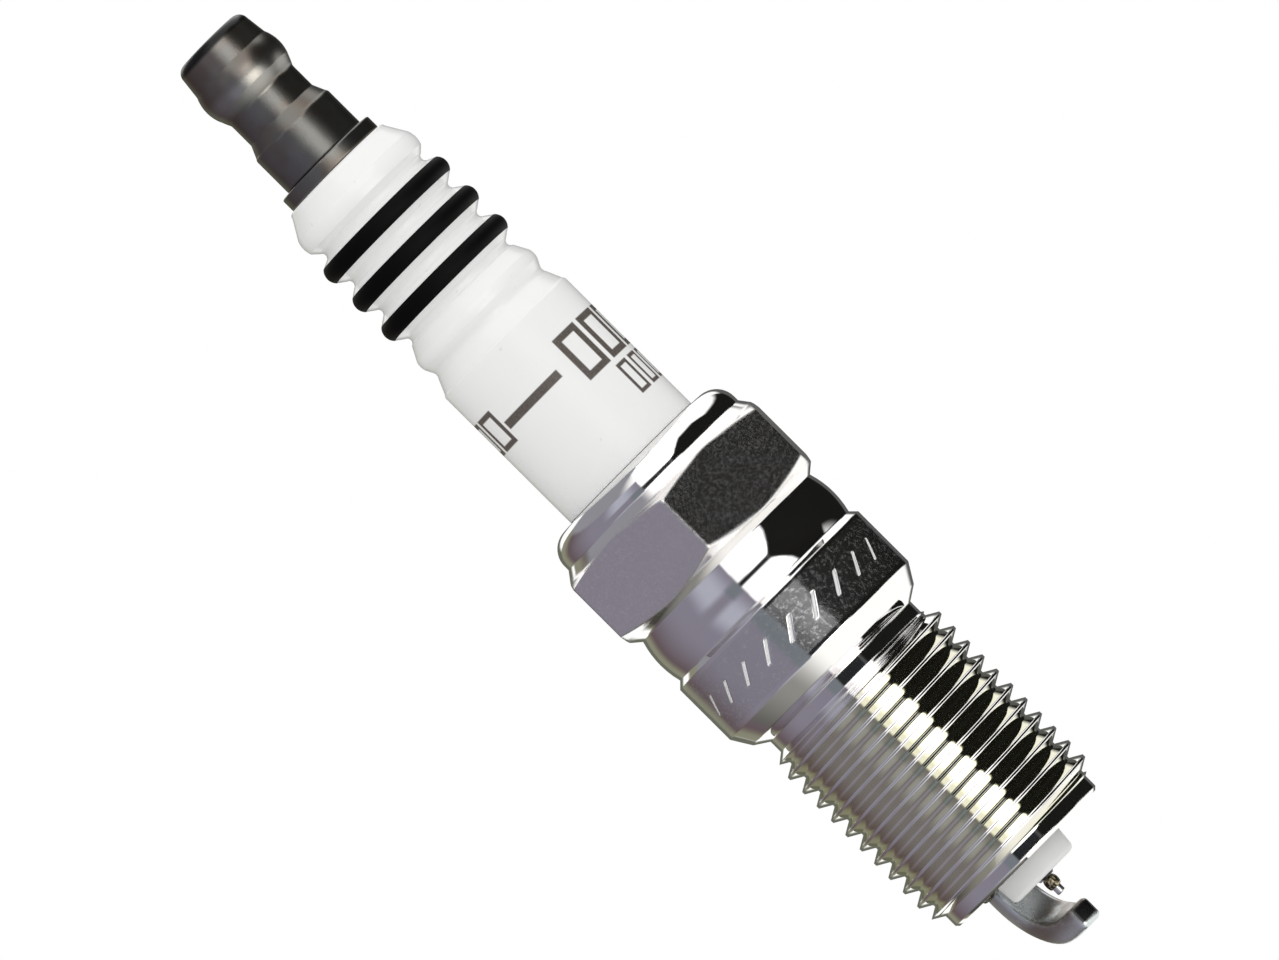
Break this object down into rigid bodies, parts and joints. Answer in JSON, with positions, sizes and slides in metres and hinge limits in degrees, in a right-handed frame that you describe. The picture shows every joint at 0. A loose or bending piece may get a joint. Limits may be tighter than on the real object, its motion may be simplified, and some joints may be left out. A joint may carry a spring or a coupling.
{
  "type": "spark plug",
  "caption": "Tapered-seat spark plug: ribbed white ceramic insulator, plated hex shell with threaded end, fine-wire centre electrode and bent ground strap.",
  "frame": {"origin": "on the plug's axis, in the plane where the conical seat has its 14.8 mm gauge diameter", "axes": "+Z along the plug's axis towards the terminal, so the thread and the spark gap are on the -Z side; +X is the outward normal of one flat of the hexagon"},
  "size_m": [0.0158, 0.0182, 0.0772],
  "materials": {
    "shell_plating": "bright nickel plating over steel",
    "ceramic_glaze": "glossy white glaze",
    "ring_rubber": "black, satin",
    "terminal_plating": "dark satin plating over steel",
    "nickel_alloy": "satin",
    "copper": "plain copper, hidden",
    "iridium": "fine ground",
    "weld_metal": "heat-tinted weld",
    "seal_glass": "fused conductive glass, hidden",
    "resistor_body": "dark fired mix, hidden",
    "talc": "pressed powder, hidden",
    "packing_steel": "plain wire, hidden"
  },
  "bodies": {
    "plug": {"shell": "shell_plating", "insulator": "ceramic_glaze", "rib_ring_upper": "ring_rubber", "rib_ring_middle": "ring_rubber", "rib_ring_lower": "ring_rubber", "terminal_stud": "terminal_plating", "upper_glass_seal": "seal_glass", "resistor_core": "resistor_body", "lower_glass_seal": "seal_glass", "electrode_sheath": "nickel_alloy", "electrode_copper_core": "copper", "iridium_tip": "iridium", "tip_weld_bead": "weld_metal", "upper_packing_ring": "packing_steel", "talc_fill": "talc", "lower_packing_ring": "packing_steel", "seat_washer": "packing_steel", "ground_electrode": "nickel_alloy", "ground_weld": "weld_metal"},
    "terminal_nut": {"terminal_nut": "terminal_plating"}
  },
  "joints": [
    {"name": "terminal_nut_unscrew", "type": "slide", "parent": "plug", "child": "terminal_nut", "axis": [0, 0, 1], "range_m": [0, 0.009]}
  ]
}
